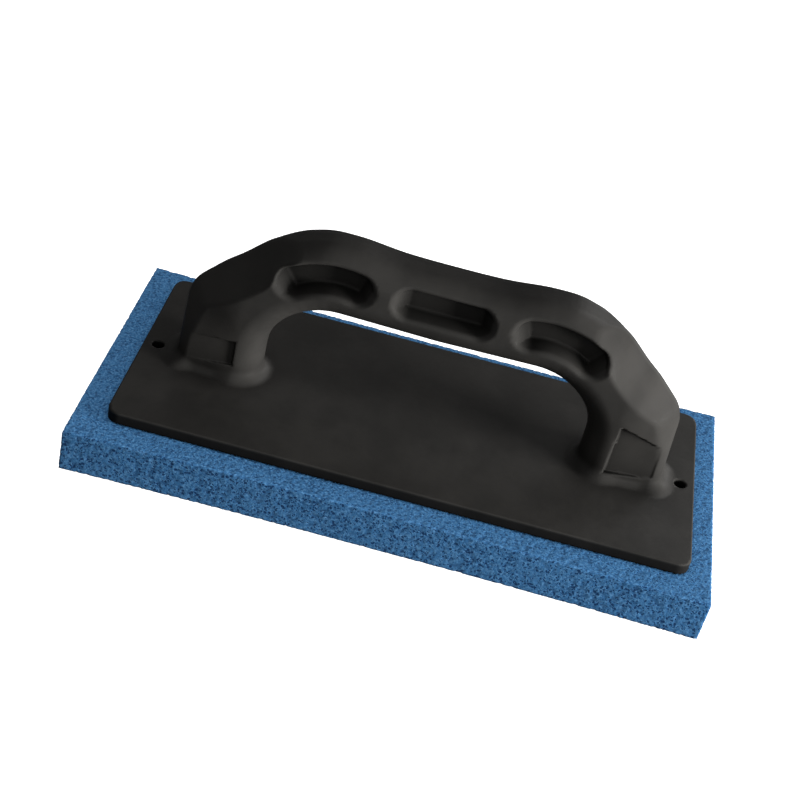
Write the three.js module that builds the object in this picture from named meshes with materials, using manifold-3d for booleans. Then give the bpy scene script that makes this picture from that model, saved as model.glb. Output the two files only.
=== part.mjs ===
// Sponge float: a one-piece moulded plate and handle, bonded to a soft foam pad.
// Units are millimetres. +Z is up, +X runs along the float, and the origin is the
// centre of the pad's underside, which is the face that works on the wall.
import * as THREE from 'three';
import { mergeVertices } from 'three/addons/utils/BufferGeometryUtils.js';
import Module from 'manifold-3d';

// ---- driving dimensions -------------------------------------------------------------
const PAD = { length: 280, width: 140, thickness: 20, edgeRound: 0.5, cornerRadius: 1 };
const FILM = { thickness: 0.5, inset: 1.2 };
const PLATE = { length: 255.5, width: 113, thickness: 5.5, cornerRadius: 6, edgeRound: 1.2 };

const HANDLE = {
  centreX: 1.6,            // the handle and plate sit this far off the pad's centre
  halfWidth: 15,           // of the grip
  edgeRound: 12,           // rounding of every long edge of the handle
  footDepth: 3.5,          // how far the handle's root runs down into the plate
};
// The side outline of one half of the handle, measured from its middle and from the
// plate's top face. The other half mirrors it.
const CREST = [
  [0, 74.9], [22, 75.3], [44, 77.3], [55, 76.9], [65, 74.1], [78, 69.1], [90, 58.2], [99, 50.4],
];
const NOSE = { x: 110.8, turnRadius: 16, slopeAngle: 45.5 };
const OPENING = { halfLength: 73, height: 44.6, cornerRadius: 29, belly: 0.5 };
// Seen from above, the handle narrows from the grip to the end webs, then towards the
// nose, which has rounded corners.
const WEB = { gripEndX: 76, startX: 88, halfWidth: 12.3, noseHalfWidth: 10.5, noseRadius: 6 };

const POCKET = {
  halfHeight: 7.2, depth: 9, middleHalfLength: 14.5, middleZ: 62.6,
  arcX: 46, arcZ: 28.2, arcRadius: 36, arcStart: -12.8, arcEnd: 32.8,
};
// Shallow blank label recesses on the two end webs: their corners in X and Z, and how far
// their flat floors are from the middle plane of the handle.
const LABELS = [
  { floorY: 10.9, corners: [[-106, 5.4], [-85, 7.6], [-85, 20.2], [-106, 18]] },
  { floorY: 10.1, corners: [[85, 3.6], [106.5, 5.6], [106.5, 22], [86.5, 30]] },
];
const HANG_HOLE = { radius: 2.8, x: 121 };
const FOOT = { innerX: 70, outerX: 117, halfWidth: 15.5, height: 2.4, cornerRadius: 9 };

const padTop = PAD.thickness;
const plateBottom = padTop + FILM.thickness;
const plateTop = plateBottom + PLATE.thickness;
const ROUND_STEPS = 4;
const CURVE_STEPS = 8;

// ---- booleans -----------------------------------------------------------------------
const wasm = await Module();
wasm.setup();

function toSolid(geometry) {
  const bare = geometry.clone();
  bare.deleteAttribute('normal');
  bare.deleteAttribute('uv');
  const merged = mergeVertices(bare, 1e-4);
  return new wasm.Manifold(new wasm.Mesh({
    numProp: 3,
    vertProperties: new Float32Array(merged.attributes.position.array),
    triVerts: new Uint32Array(merged.index.array),
  }));
}

function toGeometry(solid) {
  const mesh = solid.getMesh();
  const geometry = new THREE.BufferGeometry();
  geometry.setAttribute('position', new THREE.BufferAttribute(mesh.vertProperties, 3));
  geometry.setIndex(new THREE.BufferAttribute(mesh.triVerts, 1));
  geometry.computeVertexNormals();
  return geometry;
}

// ---- shapes -------------------------------------------------------------------------
function roundedRectangle(length, width, radius) {
  const x = length / 2;
  const y = width / 2;
  const shape = new THREE.Shape();
  shape.moveTo(-x + radius, -y);
  shape.lineTo(x - radius, -y);
  shape.absarc(x - radius, -y + radius, radius, -Math.PI / 2, 0, false);
  shape.lineTo(x, y - radius);
  shape.absarc(x - radius, y - radius, radius, 0, Math.PI / 2, false);
  shape.lineTo(-x + radius, y);
  shape.absarc(-x + radius, y - radius, radius, Math.PI / 2, Math.PI, false);
  shape.lineTo(-x, -y + radius);
  shape.absarc(-x + radius, -y + radius, radius, Math.PI, 1.5 * Math.PI, false);
  return shape;
}

// A slab lying flat, from z = 0 up, with its top and bottom edges rounded.
function roundedSlab(shape, thickness, edgeRound) {
  const geometry = new THREE.ExtrudeGeometry(shape, {
    depth: thickness - 2 * edgeRound,
    bevelEnabled: true,
    bevelThickness: edgeRound,
    bevelSize: edgeRound,
    bevelOffset: -edgeRound,
    bevelSegments: ROUND_STEPS,
    curveSegments: CURVE_STEPS,
  });
  return geometry.translate(0, 0, edgeRound);
}

// A slab with a plain bottom edge: a taller rounded slab, cut off at z = 0.
function flatBottomSlab(shape, thickness, edgeRound) {
  const tall = toSolid(roundedSlab(shape, thickness + 2 * edgeRound, edgeRound));
  const below = new THREE.BoxGeometry(2 * PAD.length, 2 * PAD.width, 4 * edgeRound);
  below.translate(0, 0, -2 * edgeRound);
  return tall.translate([0, 0, -2 * edgeRound]).subtract(toSolid(below));
}

// A side outline in X and Z, given thickness along Y, centred on Y = 0.
function sideExtrusion(shape, thickness, edgeRound) {
  const geometry = edgeRound > 0
    ? roundedSlab(shape, thickness, edgeRound)
    : new THREE.ExtrudeGeometry(shape, {
      depth: thickness, bevelEnabled: false, curveSegments: CURVE_STEPS,
    });
  return geometry.translate(0, 0, -thickness / 2).rotateX(Math.PI / 2);
}

function mirrored(points) {
  return points.map(([x, z]) => [-x, z]).reverse();
}

// The arc that turns the sloping crest down into the upright nose.
function noseTurn() {
  const { x, turnRadius, slopeAngle } = NOSE;
  const [lastX, lastZ] = CREST[CREST.length - 1];
  const slope = THREE.MathUtils.degToRad(slopeAngle);
  const centreX = x - turnRadius;
  const startX = centreX + turnRadius * Math.sin(slope);
  const startZ = lastZ - (startX - lastX) * Math.tan(slope);
  const centreZ = startZ - turnRadius * Math.cos(slope);
  const points = [];
  for (let i = 0; i <= 3; i += 1) {
    const angle = slope + ((Math.PI / 2 - slope) * i) / 3;
    points.push([centreX + turnRadius * Math.sin(angle), centreZ + turnRadius * Math.cos(angle)]);
  }
  return points;
}

function handleOutline() {
  const root = -HANDLE.footDepth - 2 * HANDLE.edgeRound;
  const half = new THREE.CatmullRomCurve3(
    CREST.map(([x, z]) => new THREE.Vector3(x, z, 0)), false, 'centripetal');
  const crest = half.getPoints(4 * (CREST.length - 1)).map((p) => [p.x, p.y]);
  const right = [...crest, ...noseTurn(), [NOSE.x, root]];
  const shape = new THREE.Shape();
  const outline = [...mirrored(right).slice(0, -1), ...right];
  outline.forEach(([x, z], i) => (i ? shape.lineTo(x, z) : shape.moveTo(x, z)));
  // the finger opening
  const { halfLength, height, cornerRadius, belly } = OPENING;
  shape.lineTo(halfLength, root);
  shape.lineTo(halfLength, height - cornerRadius);
  shape.absarc(halfLength - cornerRadius, height - cornerRadius, cornerRadius, 0, Math.PI / 2, false);
  shape.lineTo(0, height - belly);
  shape.lineTo(-halfLength + cornerRadius, height);
  shape.absarc(-halfLength + cornerRadius, height - cornerRadius, cornerRadius,
    Math.PI / 2, Math.PI, false);
  shape.lineTo(-halfLength, root);
  return shape;
}

// The handle seen from above: straight along the grip, narrowing over each web.
function planOutline() {
  const { gripEndX, startX, noseHalfWidth, noseRadius } = WEB;
  const end = NOSE.x;
  const shape = new THREE.Shape();
  shape.moveTo(-gripEndX, -HANDLE.halfWidth);
  shape.lineTo(gripEndX, -HANDLE.halfWidth);
  shape.lineTo(startX, -WEB.halfWidth);
  shape.lineTo(end - noseRadius, -noseHalfWidth);
  shape.absarc(end - noseRadius, -noseHalfWidth + noseRadius, noseRadius, -Math.PI / 2, 0, false);
  shape.absarc(end - noseRadius, noseHalfWidth - noseRadius, noseRadius, 0, Math.PI / 2, false);
  shape.lineTo(startX, WEB.halfWidth);
  shape.lineTo(gripEndX, HANDLE.halfWidth);
  shape.lineTo(-gripEndX, HANDLE.halfWidth);
  shape.lineTo(-startX, WEB.halfWidth);
  shape.absarc(-end + noseRadius, noseHalfWidth - noseRadius, noseRadius, Math.PI / 2, Math.PI, false);
  shape.absarc(-end + noseRadius, -noseHalfWidth + noseRadius, noseRadius,
    Math.PI, 1.5 * Math.PI, false);
  shape.lineTo(-startX, -WEB.halfWidth);
  return shape;
}

function middlePocket() {
  const { halfHeight, middleHalfLength, middleZ } = POCKET;
  const shape = new THREE.Shape();
  shape.moveTo(-middleHalfLength, middleZ - halfHeight);
  shape.lineTo(middleHalfLength, middleZ - halfHeight);
  shape.absarc(middleHalfLength, middleZ, halfHeight, -Math.PI / 2, Math.PI / 2, false);
  shape.lineTo(-middleHalfLength, middleZ + halfHeight);
  shape.absarc(-middleHalfLength, middleZ, halfHeight, Math.PI / 2, 1.5 * Math.PI, false);
  return shape;
}

// A slot that follows the bend at the end of the grip; side is 1 or -1.
function bentPocket(side) {
  const { halfHeight, arcX, arcZ, arcRadius, arcStart, arcEnd } = POCKET;
  const steps = 2 * CURVE_STEPS;
  const points = [];
  const ring = (cx, cz, radius, from, to, count) => {
    for (let i = 0; i <= count; i += 1) {
      const angle = THREE.MathUtils.degToRad(from + ((to - from) * i) / count);
      points.push([cx + radius * Math.sin(angle), cz + radius * Math.cos(angle)]);
    }
  };
  const capAt = (degrees) => {
    const angle = THREE.MathUtils.degToRad(degrees);
    return [arcX + arcRadius * Math.sin(angle), arcZ + arcRadius * Math.cos(angle)];
  };
  const [endX, endZ] = capAt(arcEnd);
  const [startX, startZ] = capAt(arcStart);
  ring(arcX, arcZ, arcRadius + halfHeight, arcStart, arcEnd, steps);
  ring(endX, endZ, halfHeight, arcEnd, arcEnd + 180, steps);
  ring(arcX, arcZ, arcRadius - halfHeight, arcEnd, arcStart, steps);
  ring(startX, startZ, halfHeight, arcStart + 180, arcStart + 360, steps);
  const unique = points.filter(([x, z], i) => {
    const [px, pz] = points[(i + points.length - 1) % points.length];
    return Math.hypot(x - px, z - pz) > 0.01;
  });
  return new THREE.Shape(unique.map(([x, z]) => new THREE.Vector2(side * x, z)));
}

// A blind cut from each side of the handle, leaving a core between the two.
function blindPair(shape, depth) {
  const cutter = sideExtrusion(shape, 2 * HANDLE.halfWidth, 0);
  const shift = 2 * HANDLE.halfWidth - depth;
  return [-shift, shift].map((y) => toSolid(cutter).translate([0, y, 0]));
}

function footPad(side) {
  const { innerX, outerX, halfWidth, height, cornerRadius } = FOOT;
  const outline = roundedRectangle(outerX - innerX, 2 * halfWidth, cornerRadius);
  return flatBottomSlab(outline, height, height)
    .translate([side * (innerX + outerX) / 2, 0, 0]);
}

// ---- the moulded body ---------------------------------------------------------------
function mouldedBody() {
  const plate = flatBottomSlab(
    roundedRectangle(PLATE.length, PLATE.width, PLATE.cornerRadius),
    PLATE.thickness, PLATE.edgeRound,
  ).translate([0, 0, -PLATE.thickness]);

  let handle = toSolid(sideExtrusion(handleOutline(), 2 * HANDLE.halfWidth, HANDLE.edgeRound));
  const belowRoot = new THREE.BoxGeometry(PLATE.length, PLATE.width, 50);
  belowRoot.translate(0, 0, -25 - HANDLE.footDepth);
  const plan = new THREE.ExtrudeGeometry(planOutline(), {
    depth: 120, bevelEnabled: false, curveSegments: CURVE_STEPS,
  }).translate(0, 0, -20);
  handle = handle.subtract(toSolid(belowRoot)).intersect(toSolid(plan));

  const pockets = [middlePocket(), bentPocket(1), bentPocket(-1)]
    .flatMap((shape) => blindPair(shape, POCKET.depth));
  const labels = LABELS.flatMap(({ floorY, corners }) => {
    const shape = new THREE.Shape(corners.map(([x, z]) => new THREE.Vector2(x, z)));
    return blindPair(shape, HANDLE.halfWidth - floorY);
  });
  const holes = [-1, 1].map((side) => {
    const drill = new THREE.CylinderGeometry(
      HANG_HOLE.radius, HANG_HOLE.radius, 4 * PLATE.thickness, 4 * CURVE_STEPS);
    return toSolid(drill.rotateX(Math.PI / 2)).translate([side * HANG_HOLE.x, 0, 0]);
  });

  let body = plate.add(handle).add(footPad(1)).add(footPad(-1));
  for (const cut of [...pockets, ...labels, ...holes]) body = body.subtract(cut);
  return toGeometry(body);
}

// ---- the parts ----------------------------------------------------------------------
function part(name, geometry, color, roughness, position) {
  const material = new THREE.MeshStandardMaterial({ color, roughness, metalness: 0 });
  const mesh = new THREE.Mesh(geometry, material);
  mesh.name = name;
  mesh.position.set(...position);
  return mesh;
}

const filmOutline = roundedRectangle(
  PLATE.length - 2 * FILM.inset, PLATE.width - 2 * FILM.inset,
  PLATE.cornerRadius - FILM.inset,
);
const filmGeometry = new THREE.ExtrudeGeometry(filmOutline, {
  depth: FILM.thickness, bevelEnabled: false, curveSegments: CURVE_STEPS,
});
const padGeometry = roundedSlab(
  roundedRectangle(PAD.length, PAD.width, PAD.cornerRadius), PAD.thickness, PAD.edgeRound);

const float = new THREE.Group();
float.name = 'sponge_float';
float.add(part('foam_pad', padGeometry, 0x2f6fb4, 0.95, [0, 0, 0]));
float.add(part('bond_film', filmGeometry, 0x2b2a26, 0.6, [HANDLE.centreX, 0, padTop]));
float.add(part('plate_and_handle', mouldedBody(), 0x222222, 0.45, [HANDLE.centreX, 0, plateTop]));

export default float;
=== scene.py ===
"""A sponge float for finishing mortar and grout: a black moulded plate with a closed bow handle,
bonded to a thick pad of blue open-celled sponge. Shapes are worked out in millimetres."""
import math
import bpy
import numpy as np
from mathutils import Matrix, Vector
from mathutils.kdtree import KDTree


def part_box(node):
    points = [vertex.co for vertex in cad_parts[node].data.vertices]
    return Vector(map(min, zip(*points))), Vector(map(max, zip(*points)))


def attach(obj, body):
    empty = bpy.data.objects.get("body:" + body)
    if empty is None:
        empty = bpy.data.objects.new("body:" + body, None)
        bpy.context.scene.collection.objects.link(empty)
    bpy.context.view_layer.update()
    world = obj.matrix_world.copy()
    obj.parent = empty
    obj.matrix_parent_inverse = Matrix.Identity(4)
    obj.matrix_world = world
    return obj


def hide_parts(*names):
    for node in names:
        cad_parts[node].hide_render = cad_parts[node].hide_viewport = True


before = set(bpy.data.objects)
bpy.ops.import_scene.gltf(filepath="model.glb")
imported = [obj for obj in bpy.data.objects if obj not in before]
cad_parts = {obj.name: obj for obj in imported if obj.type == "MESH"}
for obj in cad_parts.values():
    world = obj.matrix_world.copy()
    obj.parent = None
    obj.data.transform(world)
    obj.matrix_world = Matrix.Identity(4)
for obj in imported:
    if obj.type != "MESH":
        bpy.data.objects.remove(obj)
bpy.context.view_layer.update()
MM = 0.001


# ---------------------------------------------------------------- places taken from the frame

def node_box(name):
    low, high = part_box(name)
    return np.array(low) / MM, np.array(high) / MM


PAD_LOW, PAD_HIGH = node_box("foam_pad")
FILM_LOW, FILM_HIGH = node_box("bond_film")
BODY_LOW, BODY_HIGH = node_box("plate_and_handle")
PLATE_THICKNESS = 5.5
PLATE_CENTRE_X = (BODY_LOW[0] + BODY_HIGH[0]) / 2
PLATE_HALF_LENGTH = (BODY_HIGH[0] - BODY_LOW[0]) / 2
PLATE_HALF_WIDTH = (BODY_HIGH[1] - BODY_LOW[1]) / 2
PLATE_TOP = BODY_LOW[2] + PLATE_THICKNESS


# ---------------------------------------------------------------- sizes of the moulding
# x runs from the middle of the handle, z from the top face of the plate.

PLATE_CORNER = 6.0
PLATE_EDGE = 0.7

# The handle from the side. Its ends are alike: the crest slopes down to a nose, which turns upright.
CREST = [[0, 74.9], [22, 75.3], [44, 77.3], [55, 76.9], [65, 74.1], [78, 69.1], [90, 58.2], [99, 50.4]]
NOSE_X = 110.8
NOSE_TURN = 16.0         # radius of the turn from the slope to upright
NOSE_SLOPE = math.radians(45.5)
OPENING_HALF = 73.0
OPENING_HEIGHT = 45.0
OPENING_CORNER = 29.0
GRIP_BELLY = 0.9         # the grip's underside is this much lower at its middle
PROFILE_FOOT = -14.0     # the outline closes this far down, below the plate

GRIP_HALF_WIDTH = 15.0
WEB_HALF_WIDTH = 12.3    # the web is the solid end of the handle, between a leg and the nose
NOSE_HALF_WIDTH = 10.5
GRIP_ROUND = 12.0
NOSE_ROUND = 5.5
LEAST_FLAT = 0.3         # half-width of the flat left along the top where the rounding is largest

# Each sloping end is a rounded ridge between two flat facets.
FACET_TILT = math.radians(48)
FACET_RIDGE = 3.0
FACET_CREASE = 0.8       # rounding where a facet meets the flat side
FACET_FADE = 8.0         # past the slope's ends the facets move this far out, clear of the surface

LEG_FILLET = 5.5
WEB_FILLET = 3.5
NOSE_FILLET = 8.0
UNDERSIDE_EDGE = 0.4

# Runs over which one size changes to the next: heights, and distances from the handle's middle.
GRIP_HEIGHTS = (18, 40)
GRIP_REACH = (50, 60)
NOSE_REACH = (84, NOSE_X)
NOSE_ROUND_REACH = (88, 100)
NOSE_ROUND_HEIGHTS = (6, 40)
FACET_REACH = (52, 78)
FACET_HEIGHTS = (0, 38)
WEB_FILLET_REACH = (84, 93)
NOSE_FILLET_REACH = (101, 113)

POCKET_HALF_HEIGHT = 7.2
POCKET_DEPTH = 9.0
POCKET_DRAFT = math.radians(14)
POCKET_END_SLOPE = 1.7   # depth gained per millimetre in from either end
POCKET_RIM = 2.2
POCKET_FLOOR_ROUND = 1.0
MIDDLE_POCKET_HALF = 14.5
MIDDLE_POCKET_Z = 62.6
BENT_POCKET_CENTRE = (46.0, 28.2)
BENT_POCKET_RADIUS = 36.0
BENT_POCKET_ARC = (-12.8, 32.8)

# Blank label recesses: corners in the side view, and the half-width their flat floor is cut to.
LEFT_LABEL = [[-106, 5.4], [-85, 7.6], [-85, 20.2], [-106, 18]]
LEFT_LABEL_FLOOR = 10.9
RIGHT_LABEL = [[85, 3.6], [106.5, 5.6], [106.5, 22], [86.5, 30]]
RIGHT_LABEL_FLOOR = 10.1
LABEL_FLOOR_ROUND = 0.5
LABEL_RIM = 0.7

HOLE_X = 121.0
HOLE_RADIUS = 2.8
HOLE_RIM = 0.5

BODY_CELL = 1.0          # spacing of the moulding's mesh


# ---------------------------------------------------------------- signed-distance tools

def ease(start, end, value):
    t = np.clip((value - start) / (end - start), 0, 1)
    return t * t * (3 - 2 * t)


def mix(a, b, t):
    return a + (b - a) * t


def rounded_common(a, b, radius):
    """The part inside both a and b, with its edge rounded."""
    corner = np.hypot(np.maximum(a + radius, 0), np.maximum(b + radius, 0))
    return np.minimum(np.maximum(a + radius, b + radius), 0) + corner - radius


def filleted_union(a, b, radius):
    """a and b together, with a fillet where they meet."""
    corner = np.hypot(np.maximum(radius - a, 0), np.maximum(radius - b, 0))
    return np.maximum(radius, np.minimum(a, b)) - corner


def rectangle_distance(x, y, half_x, half_y, radius):
    qx = np.abs(x) - half_x + radius
    qy = np.abs(y) - half_y + radius
    return np.minimum(np.maximum(qx, qy), 0) + np.hypot(np.maximum(qx, 0), np.maximum(qy, 0)) - radius


def polygon_distance(x, z, polygon):
    """Signed distance to a closed polygon, negative inside."""
    nearest = np.full(x.shape, 1e9)
    inside = np.zeros(x.shape, bool)
    for (ax, az), (bx, bz) in zip(polygon, np.roll(polygon, -1, axis=0)):
        ex, ez = bx - ax, bz - az
        length2 = ex * ex + ez * ez
        if length2 < 1e-12:
            continue
        t = np.clip(((x - ax) * ex + (z - az) * ez) / length2, 0, 1)
        nearest = np.minimum(nearest, (x - ax - t * ex) ** 2 + (z - az - t * ez) ** 2)
        if az != bz:
            inside ^= ((az > z) != (bz > z)) & (x < ax + (z - az) * ex / ez)
    return np.where(inside, -1, 1) * np.sqrt(nearest)


def arc(centre, radius, start, end, steps):
    """Points on an arc; angles are measured from straight up, towards +x."""
    angle = np.linspace(start, end, steps)
    return np.c_[centre[0] + radius * np.sin(angle), centre[1] + radius * np.cos(angle)]


def crest_curve(spacing=2.0):
    """The top line of the handle from its middle to the start of the nose, as a smooth cubic."""
    x, z = np.array(CREST, float).T
    slope = np.gradient(z, x)
    slope[0] = 0
    slope[-1] = -math.tan(NOSE_SLOPE)
    at = np.linspace(x[0], x[-1], int((x[-1] - x[0]) / spacing) + 1)
    i = np.clip(np.searchsorted(x, at, side="right") - 1, 0, len(x) - 2)
    step = x[i + 1] - x[i]
    t = (at - x[i]) / step
    height = (
        (1 + 2 * t) * (1 - t) ** 2 * z[i] + t * t * (3 - 2 * t) * z[i + 1]
        + step * t * (1 - t) ** 2 * slope[i] - step * t * t * (1 - t) * slope[i + 1]
    )
    return np.c_[at, height]


def handle_outlines():
    """The bow handle's closed outline from the side, running below the plate: first as if it had
    no opening, then with the opening."""
    crest = crest_curve()
    turn_x = NOSE_X - NOSE_TURN
    start_x = turn_x + NOSE_TURN * math.sin(NOSE_SLOPE)
    start_z = crest[-1, 1] - (start_x - crest[-1, 0]) * math.tan(NOSE_SLOPE)
    turn = (turn_x, start_z - NOSE_TURN * math.cos(NOSE_SLOPE))
    nose = arc(turn, NOSE_TURN, NOSE_SLOPE, math.pi / 2, 9)
    outer = np.vstack([crest, nose, [[NOSE_X, PROFILE_FOOT]]])
    corner = (OPENING_HALF - OPENING_CORNER, OPENING_HEIGHT - OPENING_CORNER)
    inner = np.vstack([[[OPENING_HALF, PROFILE_FOOT]], arc(corner, OPENING_CORNER, math.pi / 2, 0, 13)])
    opened = np.vstack([outer, inner, [[0, OPENING_HEIGHT - GRIP_BELLY]]])
    return [np.vstack([half, half[::-1] * [-1, 1]]) for half in (outer, opened)]


OUTER_PROFILE, PROFILE = handle_outlines()


# ---------------------------------------------------------------- the moulded plate and handle

def middle_pocket(x, z):
    """Distance to the straight slot's outline, and how far in from its nearer end."""
    outline = np.hypot(np.maximum(np.abs(x) - MIDDLE_POCKET_HALF, 0), z - MIDDLE_POCKET_Z)
    return outline - POCKET_HALF_HEIGHT, MIDDLE_POCKET_HALF + POCKET_HALF_HEIGHT - np.abs(x)


def bent_pocket(x, z):
    """The same for a slot bent along an arc, one on each side of the middle."""
    dx = np.abs(x) - BENT_POCKET_CENTRE[0]
    dz = z - BENT_POCKET_CENTRE[1]
    start, end = np.radians(BENT_POCKET_ARC)
    turn = np.arctan2(dx, dz)
    angle = np.clip(turn, start, end)
    outline = np.hypot(dx - BENT_POCKET_RADIUS * np.sin(angle), dz - BENT_POCKET_RADIUS * np.cos(angle))
    inward = np.minimum(turn - start, end - turn) * BENT_POCKET_RADIUS + POCKET_HALF_HEIGHT
    return outline - POCKET_HALF_HEIGHT, inward


def side_fields(x, z):
    """Everything about the handle that depends only on the side view: the distance to its
    profile, its half-width, its edge rounding, the facets' share of their own distance, and the
    distances to the pockets and labels."""
    ax = np.abs(x)
    profile = polygon_distance(x, z, PROFILE)
    grip = np.maximum(ease(*GRIP_HEIGHTS, z), 1 - ease(*GRIP_REACH, ax))
    width = mix(WEB_HALF_WIDTH, GRIP_HALF_WIDTH, grip)
    width = mix(width, NOSE_HALF_WIDTH, ease(*NOSE_REACH, ax))
    nose = ease(*NOSE_ROUND_REACH, ax) * (1 - ease(*NOSE_ROUND_HEIGHTS, z))
    rounding = np.minimum(mix(GRIP_ROUND, NOSE_ROUND, nose), width - LEAST_FLAT)
    slope = ease(*FACET_REACH, ax) * ease(*FACET_HEIGHTS, z)
    facet = math.cos(FACET_TILT) * polygon_distance(x, z, OUTER_PROFILE) - FACET_FADE * (1 - slope)
    straight, straight_inward = middle_pocket(x, z)
    bent, bent_inward = bent_pocket(x, z)
    pockets = np.minimum(straight, bent)
    inward = np.where(straight < bent, straight_inward, bent_inward)
    left_label = polygon_distance(x, z, np.array(LEFT_LABEL, float))
    right_label = polygon_distance(x, z, np.array(RIGHT_LABEL, float))
    return profile, width, rounding, facet, pockets, inward, left_label, right_label


def body_distance(x, y, z, fields=None):
    """Signed distance to the whole moulding, negative inside."""
    if fields is None:
        fields = side_fields(x, z)
    profile, width, rounding, facet, pockets, inward, left_label, right_label = fields
    ax, ay = np.abs(x), np.abs(y)
    handle = rounded_common(profile, ay - width, rounding)
    facet = facet + math.sin(FACET_TILT) * (np.hypot(y, FACET_RIDGE) - FACET_RIDGE)
    handle = rounded_common(handle, facet, FACET_CREASE)
    plate = rectangle_distance(x, y, PLATE_HALF_LENGTH, PLATE_HALF_WIDTH, PLATE_CORNER)
    plate = rounded_common(plate, z, PLATE_EDGE)
    fillet = mix(LEG_FILLET, WEB_FILLET, ease(*WEB_FILLET_REACH, ax))
    fillet = mix(fillet, NOSE_FILLET, ease(*NOSE_FILLET_REACH, ax))
    solid = filleted_union(handle, plate, fillet)
    solid = rounded_common(solid, -z - PLATE_THICKNESS, UNDERSIDE_EDGE)
    depth = GRIP_HALF_WIDTH - ay
    walls = pockets * math.cos(POCKET_DRAFT) + depth * math.sin(POCKET_DRAFT)
    ends = (depth - POCKET_END_SLOPE * inward) / math.hypot(1, POCKET_END_SLOPE)
    pocket = rounded_common(np.maximum(walls, ends), depth - POCKET_DEPTH, POCKET_FLOOR_ROUND)
    solid = rounded_common(solid, -pocket, POCKET_RIM)
    for label, floor in ((left_label, LEFT_LABEL_FLOOR), (right_label, RIGHT_LABEL_FLOOR)):
        recess = rounded_common(label, floor - ay, LABEL_FLOOR_ROUND)
        solid = rounded_common(solid, -recess, LABEL_RIM)
    hole = np.hypot(ax - HOLE_X, y) - HOLE_RADIUS
    return rounded_common(solid, -hole, HOLE_RIM)


def grid_lines(*runs):
    """Grid positions over consecutive runs, each given as (start, end, spacing)."""
    lines = [np.array([runs[0][0]])]
    for start, end, spacing in runs:
        count = max(1, math.ceil((end - start) / spacing - 1e-6))
        lines.append(np.linspace(start, end, count + 1)[1:])
    return np.concatenate(lines)


def surface_nets(axes, values):
    """The zero surface of sampled values as one vertex per crossed cell and quads between them."""
    cells = tuple(n - 1 for n in values.shape)
    inside = values < 0
    total = np.zeros(cells + (3,)).reshape(-1, 3)
    count = np.zeros(cells).reshape(-1)
    crossings = []
    for axis in range(3):
        low = np.moveaxis(inside, axis, 0)[:-1]
        high = np.moveaxis(inside, axis, 0)[1:]
        at = np.argwhere(np.moveaxis(low != high, 0, axis))
        after = at.copy()
        after[:, axis] += 1
        f0, f1 = values[tuple(at.T)], values[tuple(after.T)]
        point = np.stack([axes[k][at[:, k]] for k in range(3)], 1)
        point[:, axis] = mix(axes[axis][at[:, axis]], axes[axis][after[:, axis]], f0 / (f0 - f1))
        u, v = [k for k in range(3) if k != axis]
        corners = []
        for du, dv in ((0, 0), (1, 0), (1, 1), (0, 1)):
            cell = at.copy()
            cell[:, u] -= du
            cell[:, v] -= dv
            flat = np.ravel_multi_index(cell.T, cells)
            np.add.at(total, flat, point)
            np.add.at(count, flat, 1)
            corners.append(flat)
        quad = np.stack(corners, 1)
        backward = (f0 >= 0) if axis != 1 else (f0 < 0)
        quad[backward] = quad[backward][:, ::-1]
        crossings.append(quad)
    used = np.flatnonzero(count)
    index = np.full(count.shape, -1)
    index[used] = np.arange(len(used))
    return total[used] / count[used][:, None], index[np.vstack(crossings)]


def gradient(points, reach=0.02):
    """Direction and steepness of the distance field at each point."""
    slope = np.empty_like(points)
    for axis in range(3):
        offset = np.zeros(3)
        offset[axis] = reach
        ahead, behind = points + offset, points - offset
        slope[:, axis] = (body_distance(*ahead.T) - body_distance(*behind.T)) / (2 * reach)
    return slope


def body_grid(cell):
    """Grid lines along each axis: close at the plate's edges, wide over its flat top."""
    fine, wide, flat = cell * 0.6, cell * 1.3, 4.0
    end, side, under = PLATE_HALF_LENGTH, PLATE_HALF_WIDTH, -PLATE_THICKNESS
    middle, handle_side, top = 66, 23, 81
    return (
        grid_lines((-end - 2, -end + 4, fine), (-end + 4, -middle, cell), (-middle, middle, wide),
                   (middle, end - 4, cell), (end - 4, end + 2, fine)),
        grid_lines((-side - 2, -side + 3, cell * 0.5), (-side + 3, -handle_side, flat),
                   (-handle_side, handle_side, cell),
                   (handle_side, side - 3, flat), (side - 3, side + 2, cell * 0.5)),
        grid_lines((under - 1.1, under + 1.1, fine), (under + 1.1, -1.6, cell), (-1.6, 1.2, fine),
                   (1.2, top, cell)),
    )


def body_surface(cell):
    """Vertices, quads and normals of the moulding. Two passes draw each vertex onto the surface."""
    axes = body_grid(cell)
    side_x, side_z = np.meshgrid(axes[0], axes[2], indexing="ij")
    fields = [field[:, None, :] for field in side_fields(side_x, side_z)]
    x, y, z = np.ix_(*axes)
    points, quads = surface_nets(axes, body_distance(x, y, z, fields))
    for _ in range(2):
        slope = gradient(points)
        steepness = np.maximum((slope ** 2).sum(1), 0.3)
        step = np.clip(body_distance(*points.T) / steepness, -0.5 * cell, 0.5 * cell)
        points = points - slope * step[:, None]
    normals = gradient(points)
    normals /= np.maximum(np.linalg.norm(normals, axis=1), 1e-9)[:, None]
    return points, quads, normals


# ---------------------------------------------------------------- mesh helpers

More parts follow.
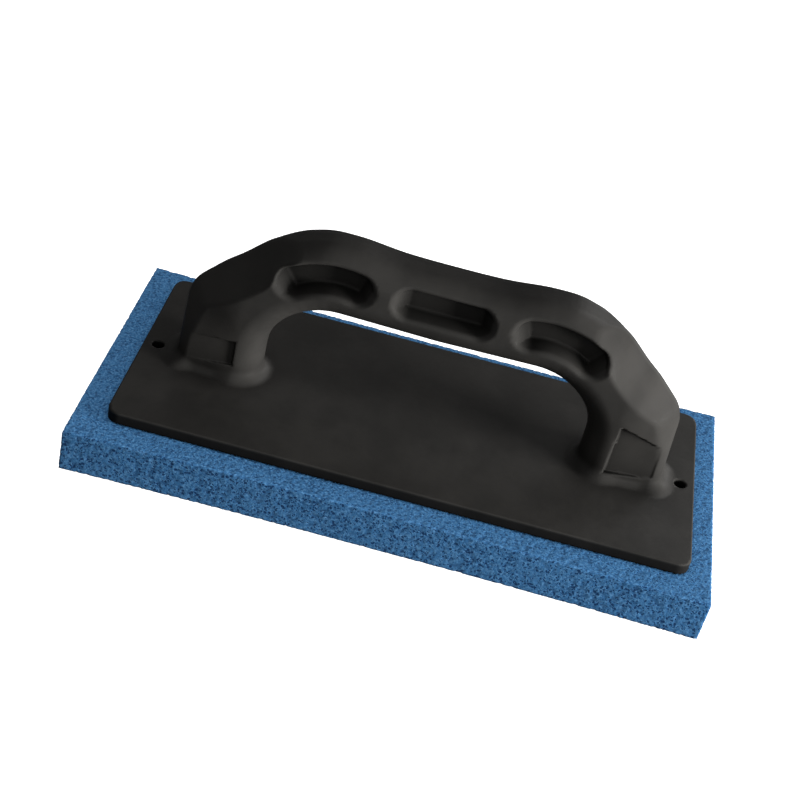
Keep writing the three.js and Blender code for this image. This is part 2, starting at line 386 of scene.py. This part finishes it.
def make_object(name, points_mm, faces, material, replaced, normals=None):
    """One smooth-shaded piece from arrays; it rides on the root body in place of a CAD node."""
    mesh = bpy.data.meshes.new(name)
    sizes = np.array([len(face) for face in faces])
    loops = np.concatenate(faces)
    mesh.vertices.add(len(points_mm))
    mesh.vertices.foreach_set("co", (points_mm * MM).astype(np.float32).ravel())
    mesh.loops.add(len(loops))
    mesh.loops.foreach_set("vertex_index", loops.astype(np.int32))
    mesh.polygons.add(len(sizes))
    mesh.polygons.foreach_set("loop_start", (np.cumsum(sizes) - sizes).astype(np.int32))
    mesh.update(calc_edges=True)
    mesh.validate()
    mesh.polygons.foreach_set("use_smooth", np.ones(len(mesh.polygons), bool))
    if normals is not None:
        mesh.normals_split_custom_set_from_vertices(normals.astype(np.float32))
    mesh.materials.append(material)
    piece = bpy.data.objects.new(name, mesh)
    bpy.context.scene.collection.objects.link(piece)
    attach(piece, "root")
    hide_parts(replaced)
    return piece


# ---------------------------------------------------------------- the sponge

PAD_EDGE = 0.3
PAD_WAIST = 2.0          # each long side of the soft pad is drawn in this far at its middle
PAD_CELL = 0.875         # spacing of the pad's mesh
PAD_JITTER = 0.26        # each mesh point is shifted by up to this much within its face
PAD_ROUGHNESS = 0.05
PAD_ROUGH_LIMIT = 0.04
PORE_RADIUS = (0.45, 0.95)
PORE_SPACING = 3.0       # there are two cells to each square of this side
PORE_SMALLNESS = 2.2     # above 1, small cells outnumber large ones
PORE_DRIFT = 0.25
PORE_SETTING = (-0.1, 0.35)    # how far below the skin a cell's centre lies, in radii
PORE_RELIEF = 0.24       # share of a cell's depth that is in the mesh; painted shade in the colour shows the rest
PORE_DARKEST = 0.9       # depth from which a cell's painted shade is darkest
HIDDEN_MARGIN = 17.0     # further in than this the top is one plain face, under the plate
HIDDEN_RIM = 1.5         # the skin is smooth from this far outside that face


def box_lattice(low, high, cell, hidden):
    """A box skinned with small quads. The top inside the hidden rectangle is one large face."""
    counts = np.maximum(1, np.round((high - low) / cell)).astype(int)
    nx, ny, nz = counts
    number = np.arange((nx + 1) * (ny + 1) * (nz + 1)).reshape(nx + 1, ny + 1, nz + 1)

    def quads(layer):
        return np.stack([layer[:-1, :-1], layer[1:, :-1], layer[1:, 1:], layer[:-1, 1:]], -1)

    margin = int(round(hidden / cell))
    top = quads(number[:, :, nz])
    keep = np.ones(top.shape[:2], bool)
    keep[margin:nx - margin, margin:ny - margin] = False
    sheets = [
        top[keep],
        quads(number[:, :, 0])[:, :, ::-1].reshape(-1, 4),
        quads(number[:, 0, :]).reshape(-1, 4),
        quads(number[:, ny, :])[:, :, ::-1].reshape(-1, 4),
        quads(number[0])[:, :, ::-1].reshape(-1, 4),
        quads(number[nx]).reshape(-1, 4),
    ]
    inner = number[margin:nx - margin + 1, margin:ny - margin + 1, nz]
    ring = np.concatenate([inner[:-1, 0], inner[-1, :-1], inner[:0:-1, -1], inner[0, :0:-1]])
    faces = np.vstack(sheets)
    used = np.unique(faces)
    place = np.full(number.size, -1)
    place[used] = np.arange(len(used))
    at = np.stack(np.unravel_index(used, number.shape), 1)
    points = low + (high - low) * at / counts
    return points, list(place[faces]) + [place[ring]]


def round_box(points, low, high, radius):
    """Moves points of a box's skin onto the same box with rounded edges; also gives normals."""
    core = np.clip(points, low + radius, high - radius)
    out = points - core
    out /= np.linalg.norm(out, axis=1)[:, None]
    return core + out * radius, out


def pore_depths(points, normals, rng):
    """How far each point of the skin sinks into the round cells cut open by that face."""
    length, width, height = PAD_HIGH - PAD_LOW + 2
    area = 2 * (length * width + width * height + length * height)
    count = int(area / PORE_SPACING ** 2 * 2)
    home = rng.choice(len(points), count, replace=False)
    radius = mix(*PORE_RADIUS, rng.random(count) ** PORE_SMALLNESS)
    drift = rng.normal(0, PORE_DRIFT, (count, 3))
    below = radius * rng.uniform(*PORE_SETTING, count)
    centre = points[home] + drift - normals[home] * below[:, None]
    tree = KDTree(count)
    for i, c in enumerate(centre):
        tree.insert(c, i)
    tree.balance()
    depth = np.zeros(len(points))
    for i, (point, normal) in enumerate(zip(points, normals)):
        for _, which, distance in tree.find_n(point, 3):
            r = radius[which]
            if distance >= r:
                continue
            offset = point - centre[which]
            along = float(offset @ normal)
            depth[i] = max(depth[i], along + math.sqrt(along * along + r * r - distance * distance))
    return depth


def foam_pad(material):
    """The pad: a soft box with its surface cells sunk in, and their depth kept for the painted shade in
    its colour.
    """
    rng = np.random.default_rng(7)
    points, faces = box_lattice(PAD_LOW, PAD_HIGH, PAD_CELL, HIDDEN_MARGIN)
    free = (points > PAD_LOW + 1e-6) & (points < PAD_HIGH - 1e-6)
    within_face = free.sum(1) == 2
    jitter = rng.uniform(-PAD_JITTER, PAD_JITTER, points.shape) * within_face[:, None]
    points, normals = round_box(points + np.where(free, jitter, 0), PAD_LOW, PAD_HIGH, PAD_EDGE)
    points[:, 1] *= 1 - PAD_WAIST / PAD_HIGH[1] * (1 - (points[:, 0] / PAD_HIGH[0]) ** 2)
    depth = pore_depths(points, normals, rng)
    rough = np.clip(rng.normal(0, PAD_ROUGHNESS, len(points)), -PAD_ROUGH_LIMIT, PAD_ROUGH_LIMIT)
    under_plate = (np.abs(points[:, :2]) < PAD_HIGH[:2] - HIDDEN_MARGIN + HIDDEN_RIM).all(1)
    hidden = under_plate & (normals[:, 2] > 0.9)
    sink = np.where(hidden, 0, PORE_RELIEF * np.clip(depth, 0, 1.0) + rough)
    points = points - normals * sink[:, None]
    piece = make_object("sponge_pad", points, faces, material, "foam_pad")
    shade = piece.data.attributes.new("pore", "FLOAT", "POINT")
    shade.data.foreach_set("value", np.clip(depth / PORE_DARKEST, 0, 1).astype(np.float32))
    return piece


# ---------------------------------------------------------------- the adhesive

FILM_CORNER = 4.8
FILM_SPACING = 1.2
FILM_RIPPLE = (0.05, 0.14)
FILM_WAVES = (9, 17, 31, 47, 83)       # ripples round the rim, one set on top of another
FILM_RIM = ((0.0, -0.45), (0.22, 0.0), (0.5, 0.15), (0.78, 0.0), (1.0, -0.45))    # height share, swell


def film_path():
    """Evenly spaced points round the film's rounded rectangle, and how far round each one lies, as
    an angle that runs once round the whole rim."""
    middle = (FILM_LOW + FILM_HIGH) / 2
    half = (FILM_HIGH - FILM_LOW) / 2
    corners = []
    for sx, sy, turn in ((1, 1, 0), (-1, 1, 90), (-1, -1, 180), (1, -1, 270)):
        angle = np.radians(turn + np.linspace(0, 90, 10))
        centre = middle[:2] + (half[:2] - FILM_CORNER) * [sx, sy]
        corners.append(centre + FILM_CORNER * np.c_[np.cos(angle), np.sin(angle)])
    closed = np.vstack(corners + [corners[0][:1]])
    length = np.concatenate([[0], np.cumsum(np.linalg.norm(np.diff(closed, axis=0), axis=1))])
    count = int(length[-1] / FILM_SPACING)
    at = np.arange(count) * length[-1] / count
    path = np.c_[np.interp(at, length, closed[:, 0]), np.interp(at, length, closed[:, 1])]
    return path, 2 * math.pi * at / length[-1]


def bond_film(material):
    """The thin layer of adhesive, with an uneven squeezed-out rim."""
    rng = np.random.default_rng(11)
    path, turn = film_path()
    count = len(path)
    tangent = np.roll(path, -1, 0) - np.roll(path, 1, 0)
    tangent /= np.linalg.norm(tangent, axis=1)[:, None]
    outward = np.c_[tangent[:, 1], -tangent[:, 0]]
    wave = sum(
        rng.uniform(*FILM_RIPPLE) * np.sin(waves * turn + rng.uniform(0, 2 * math.pi))
        for waves in FILM_WAVES
    )
    points = []
    for share, swell in FILM_RIM:
        ring = path + outward * (wave + swell)[:, None]
        z = np.full((count, 1), mix(FILM_LOW[2], FILM_HIGH[2], share))
        points.append(np.hstack([ring, z]))
    here = np.arange(count)
    band = np.stack([here, (here + 1) % count, (here + 1) % count + count, here + count], 1)
    sides = [band + k * count for k in range(len(FILM_RIM) - 1)]
    faces = list(np.vstack(sides)) + [here[::-1], here + (len(FILM_RIM) - 1) * count]
    return make_object("adhesive_film", np.vstack(points), faces, material, "bond_film")


# ---------------------------------------------------------------- material helpers

def add_node(tree, kind, inputs=None, **settings):
    """A shader node with its settings and inputs; an input may be a value or another socket."""
    made = tree.nodes.new(kind)
    for key, value in settings.items():
        setattr(made, key, value)
    for key, value in (inputs or {}).items():
        if isinstance(value, bpy.types.NodeSocket):
            tree.links.new(value, made.inputs[key])
        else:
            made.inputs[key].default_value = value
    return made


def maths(tree, operation, a, b=0.0):
    return add_node(tree, "ShaderNodeMath", {0: a, 1: b}, operation=operation).outputs[0]


def remap(tree, value, low, high, to_low=0.0, to_high=1.0):
    inputs = {"Value": value, "From Min": low, "From Max": high, "To Min": to_low, "To Max": to_high}
    return add_node(tree, "ShaderNodeMapRange", inputs, interpolation_type="SMOOTHSTEP").outputs[0]


def blend(tree, share, a, b):
    """Colour a at share 0, colour b at share 1."""
    made = add_node(tree, "ShaderNodeMix", {0: share, 6: a, 7: b}, data_type="RGBA")
    return made.outputs[2]


def noise(tree, place, scale, detail=2.0, roughness=0.5):
    inputs = {"Vector": place, "Scale": scale, "Detail": detail, "Roughness": roughness}
    return add_node(tree, "ShaderNodeTexNoise", inputs).outputs[0]


def new_material(name):
    """An empty node material, its Principled shader, and object coordinates in millimetres."""
    material = bpy.data.materials.new(name)
    material.use_nodes = True
    tree = material.node_tree
    tree.nodes.clear()
    shader = add_node(tree, "ShaderNodeBsdfPrincipled")
    add_node(tree, "ShaderNodeOutputMaterial", {"Surface": shader.outputs[0]})
    metres = add_node(tree, "ShaderNodeTexCoord").outputs["Object"]
    inputs = {0: metres, "Scale": 1 / MM}
    place = add_node(tree, "ShaderNodeVectorMath", inputs, operation="SCALE").outputs[0]
    return material, tree, shader, place


def component(tree, vector, axis):
    return add_node(tree, "ShaderNodeSeparateXYZ", {0: vector}).outputs[axis]


def bump(tree, height, strength, distance_mm, under=None):
    inputs = {"Height": height, "Strength": strength, "Distance": distance_mm * MM}
    if under is not None:
        inputs["Normal"] = under
    return add_node(tree, "ShaderNodeBump", inputs).outputs[0]


# ---------------------------------------------------------------- materials

BLACK = (0, 0, 0, 1)
WHITE = (1, 1, 1, 1)
PLASTIC_TONES = (0.0200, 0.0192, 0.0179, 1), (0.0262, 0.0250, 0.0232, 1)
# Colour of the painted shade in sheltered corners and along the plate's lower side.
PLASTIC_PAINTED_SHADE = (0.0015, 0.0015, 0.0015, 1)
SPONGE_TONES = (0.040, 0.146, 0.322, 1), (0.048, 0.166, 0.358, 1)
SPONGE_WALL = (0.106, 0.276, 0.516, 1)
SPONGE_CELL_SHADE = (0.009, 0.032, 0.100, 1)
ADHESIVE_TONES = (0.003, 0.003, 0.004, 1), (0.008, 0.008, 0.010, 1)

# Painted shade of cells in the sponge's colour: scale, the distances at which a cell is full and gone,
# and darkness.
CELL_LAYERS = ((0.50, 0.27, 0.44, 0.9), (0.85, 0.29, 0.47, 0.9), (1.6, 0.26, 0.48, 0.5))


def moulded_plastic():
    """Satin black moulded plastic with a fine grain and faint flow marks. Painted shade darkens its
    colour and shine in sheltered corners and along the plate's side towards its underside."""
    material, tree, shader, place = new_material("moulded_plastic")
    grain = noise(tree, place, 2.4, 3.0, 0.6)
    flow = noise(tree, place, 0.035, 3.0, 0.55)
    rub = noise(tree, place, 0.35, 4.0, 0.6)
    colour = blend(tree, remap(tree, flow, 0.35, 0.65), *PLASTIC_TONES)
    roughness = remap(tree, rub, 0.3, 0.7, 0.36, 0.46)
    normal = bump(tree, grain, 0.10, 0.25)
    normal = bump(tree, flow, 0.30, 1.2, normal)
    # Painted shade: colour and shine are darkened where the occlusion lookup finds shelter, and towards
    # the underside of the plate's side.
    shelter = add_node(tree, "ShaderNodeAmbientOcclusion", {"Distance": 14 * MM}, samples=8)
    open_air = maths(tree, "POWER", shelter.outputs["AO"], 1.2)
    unshaded_share = remap(tree, component(tree, place, 2), PLATE_TOP - 1.6, PLATE_TOP - 0.2, 0.45, 1.0)
    unshaded_share = maths(tree, "MULTIPLY", unshaded_share, open_air)
    colour = blend(tree, unshaded_share, PLASTIC_PAINTED_SHADE, colour)
    shine = maths(tree, "MULTIPLY", unshaded_share, 0.5)
    for name, value in (("Base Color", colour), ("Roughness", roughness), ("Normal", normal),
                        ("Specular IOR Level", shine)):
        tree.links.new(value, shader.inputs[name])
    return material


def sponge():
    """Blue open-celled sponge: small cells darkened with painted shade between paler walls, in cloudy
    patches. Its reflection in the shiny plastic is dimmed."""
    material, tree, shader, place = new_material("sponge")
    clouds = noise(tree, place, 0.045, 2.0)
    mottle = noise(tree, place, 0.95, 3.0, 0.6)
    warp = add_node(tree, "ShaderNodeTexNoise", {"Vector": place, "Scale": 1.1}).outputs["Color"]
    moved = add_node(tree, "ShaderNodeVectorMath", {0: warp, 1: place}, operation="ADD").outputs[0]
    # Painted shade in the cells: the depth each point sinks into a cell, and dark Voronoi cells, stand
    # in for the shade inside the open cells.
    sunk = add_node(tree, "ShaderNodeAttribute", attribute_name="pore").outputs["Fac"]
    cell_shade = maths(tree, "MULTIPLY", sunk, 0.5)
    for scale, low, high, share in CELL_LAYERS:
        inputs = {"Vector": moved, "Scale": scale, "Randomness": 1.0}
        voronoi = add_node(tree, "ShaderNodeTexVoronoi", inputs).outputs["Distance"]
        shrink = remap(tree, noise(tree, place, scale * 0.7, 0.0), 0.40, 0.65, 0.0, 0.22)
        cells = remap(tree, maths(tree, "ADD", voronoi, shrink), low, high, share, 0.0)
        cell_shade = maths(tree, "MAXIMUM", cell_shade, cells)
    facing = add_node(tree, "ShaderNodeNewGeometry").outputs["True Normal"]
    upward = component(tree, facing, 2)
    # The painted cell shade is lighter on faces turned up.
    cell_shade = maths(tree, "MULTIPLY", cell_shade, remap(tree, upward, 0.4, 0.9, 1.0, 0.72))
    base = blend(tree, remap(tree, clouds, 0.35, 0.65), *SPONGE_TONES)
    walls = blend(tree, remap(tree, mottle, 0.42, 0.68), base, SPONGE_WALL)
    colour = blend(tree, cell_shade, walls, SPONGE_CELL_SHADE)
    mirrored = add_node(tree, "ShaderNodeLightPath").outputs["Is Glossy Ray"]
    colour = blend(tree, maths(tree, "MULTIPLY", mirrored, 0.8), colour, BLACK)
    height = maths(tree, "SUBTRACT", maths(tree, "MULTIPLY", mottle, 0.4), cell_shade)
    normal = bump(tree, height, 0.4, 0.35)
    for name, value in (("Base Color", colour), ("Normal", normal)):
        tree.links.new(value, shader.inputs[name])
    shader.inputs["Roughness"].default_value = 0.92
    shader.inputs["Specular IOR Level"].default_value = 0.2
    return material


def adhesive():
    """Nearly black contact adhesive with a dull, uneven skin."""
    material, tree, shader, place = new_material("adhesive")
    lumps = noise(tree, place, 0.7, 3.0)
    colour = blend(tree, lumps, *ADHESIVE_TONES)
    normal = bump(tree, lumps, 0.5, 0.4)
    for name, value in (("Base Color", colour), ("Normal", normal)):
        tree.links.new(value, shader.inputs[name])
    shader.inputs["Roughness"].default_value = 0.6
    return material


# ---------------------------------------------------------------- studio

FLOOR_REACH = 12000
FLOOR_DROP = 0.3         # keeps the floor clear of the pad's underside
BACKDROP = 1.1           # strengths of the surroundings, with white paper at 1
SKY_GLOW = 0.09
ROOM_GLOW = 0.07

CAMERA_PLACE = (6.7, -609.2, PAD_HIGH[2] + 441.9)
CAMERA_TURN = (-1.37, 35.29, 14.19)    # degrees: heading from +y towards +x, tilt down, roll
CAMERA_LENS = 75.2
CAMERA_SENSOR = 36


def soft_box(name, centre, target, size, radiance, glossy=True, diffuse=True, only=None):
    """A rectangular light; radiance is what a mirror would show, with white paper at 1.
    With a collection given as only, the light falls on that collection alone."""
    light = bpy.data.lights.new(name, "AREA")
    light.shape = "RECTANGLE"
    light.size, light.size_y = size[0] * MM, size[1] * MM
    light.energy = radiance * math.pi * light.size * light.size_y
    holder = bpy.data.objects.new(name, light)
    bpy.context.scene.collection.objects.link(holder)
    holder.location = Vector(centre) * MM
    aim = (Vector(target) - Vector(centre)).normalized()
    holder.rotation_euler = aim.to_track_quat("-Z", "Y").to_euler()
    holder.visible_camera = False
    holder.visible_glossy = glossy
    holder.visible_diffuse = diffuse
    if only is not None:
        holder.light_linking.receiver_collection = only


def light_group(name, *members):
    group = bpy.data.collections.new(name)
    for member in members:
        group.objects.link(member)
    return group


def pale_floor():
    """A large pale floor that reads almost white to the camera and stays dim in reflections."""
    mesh = bpy.data.meshes.new("floor")
    reach = FLOOR_REACH * MM
    corners = [(-reach, -reach, 0), (reach, -reach, 0), (reach, reach, 0), (-reach, reach, 0)]
    mesh.from_pydata(corners, [], [(0, 1, 2, 3)])
    material = bpy.data.materials.new("floor")
    material.use_nodes = True
    tree = material.node_tree
    tree.nodes.clear()
    paint = add_node(tree, "ShaderNodeBsdfDiffuse", {"Color": (0.8, 0.8, 0.8, 1)})
    glow = add_node(tree, "ShaderNodeEmission", {"Color": WHITE, "Strength": 1.0})
    seen = add_node(tree, "ShaderNodeAddShader", {0: paint.outputs[0], 1: glow.outputs[0]})
    dim = add_node(tree, "ShaderNodeBsdfDiffuse", {"Color": (0.05, 0.05, 0.05, 1)})
    direct = add_node(tree, "ShaderNodeLightPath").outputs["Is Camera Ray"]
    chosen = add_node(tree, "ShaderNodeMixShader", {0: direct, 1: dim.outputs[0], 2: seen.outputs[0]})
    add_node(tree, "ShaderNodeOutputMaterial", {"Surface": chosen.outputs[0]})
    mesh.materials.append(material)
    floor = bpy.data.objects.new("floor", mesh)
    bpy.context.scene.collection.objects.link(floor)
    floor.location.z = -FLOOR_DROP * MM
    return floor


def studio_world():
    """White to the camera, an even soft glow for matt surfaces, and a dim room for shiny ones."""
    world = bpy.data.worlds.new("studio")
    bpy.context.scene.world = world
    world.use_nodes = True
    tree = world.node_tree
    tree.nodes.clear()
    path = add_node(tree, "ShaderNodeLightPath").outputs
    backdrop, sky, room = (
        add_node(tree, "ShaderNodeBackground", {"Color": WHITE, "Strength": strength}).outputs[0]
        for strength in (BACKDROP, SKY_GLOW, ROOM_GLOW)
    )
    inputs = {0: path["Is Glossy Ray"], 1: sky, 2: room}
    around = add_node(tree, "ShaderNodeMixShader", inputs)
    inputs = {0: path["Is Camera Ray"], 1: around.outputs[0], 2: backdrop}
    chosen = add_node(tree, "ShaderNodeMixShader", inputs)
    add_node(tree, "ShaderNodeOutputWorld", {"Surface": chosen.outputs[0]})


def lights(body, pad, film, floor):
    """One low window on the right does most of the work. The black plastic needs far more of
    it than the pad does, so each has its own set of matt lights."""
    plastic = light_group("lit_plastic", body)
    rest = light_group("lit_rest", pad, film, floor)
    # Each place is a light's centre, the point it is aimed at, and its width and height.
    right = (1000, -240, 160), (0, 0, 40), (450, 260)
    top = (0, -250, 1200), (0, 0, 20), (1200, 1000)
    front_high = (200, -1050, 620), (0, 0, 20), (1100, 600)
    front_low = (250, -1200, 260), (0, 0, 20), (1100, 600)
    back_left = (-1000, 500, 420), (0, 0, 20), (700, 500)
    soft_box("plastic_right", *right, 132.0, glossy=False, only=plastic)
    soft_box("plastic_top", *top, 0.55, glossy=False, only=plastic)
    soft_box("plastic_front", *front_high, 1.5, glossy=False, only=plastic)
    soft_box("pad_right", *right, 56.0, glossy=False, only=rest)
    soft_box("pad_top", *top, 2.2, glossy=False, only=rest)
    soft_box("pad_front", *front_low, 2.0, glossy=False, only=rest)
    soft_box("pad_back_left", *back_left, 2.0, glossy=False, only=rest)
    soft_box("back_light", (0, 1100, 320), (0, 0, 30), (900, 400), 3.0, glossy=False)
    soft_box("high_right_panel", (520, 560, 700), (0, 0, 100), (500, 400), 1.0, diffuse=False)
    soft_box("back_right_wall", (620, 800, 150), (0, 0, 100), (900, 330), 0.6, diffuse=False)
    soft_box("right_wall", (1000, 60, 220), (0, 0, 100), (1100, 520), 0.25, diffuse=False)
    soft_box("front_right_wall", (640, -780, 160), (0, 0, 60), (900, 480), 0.4, diffuse=False)


def camera():
    """A long lens looking down on the near long side, rolled a little."""
    heading, tilt, roll = (math.radians(angle) for angle in CAMERA_TURN)
    level_reach = math.cos(tilt)
    ahead = Vector((math.sin(heading) * level_reach, math.cos(heading) * level_reach, -math.sin(tilt)))
    level = ahead.cross(Vector((0, 0, 1))).normalized()
    upright = level.cross(ahead)
    right = level * math.cos(roll) + upright * math.sin(roll)
    up = right.cross(ahead)
    data = bpy.data.cameras.new("camera")
    data.lens = CAMERA_LENS
    data.sensor_width = CAMERA_SENSOR
    data.clip_end = 50
    holder = bpy.data.objects.new("camera", data)
    bpy.context.scene.collection.objects.link(holder)
    turn = Matrix((right, up, -ahead)).transposed().to_4x4()
    holder.matrix_world = Matrix.Translation(Vector(CAMERA_PLACE) * MM) @ turn
    bpy.context.scene.camera = holder


# ---------------------------------------------------------------- assembly

def moulded_body(material):
    points, quads, normals = body_surface(BODY_CELL)
    points = points + [PLATE_CENTRE_X, 0, PLATE_TOP]
    return make_object("plate_and_bow_handle", points, quads, material,
                       "plate_and_handle", normals)


body = moulded_body(moulded_plastic())
pad = foam_pad(sponge())
film = bond_film(adhesive())
floor = pale_floor()
studio_world()
lights(body, pad, film, floor)
camera()
bpy.context.scene.view_settings.view_transform = "Standard"
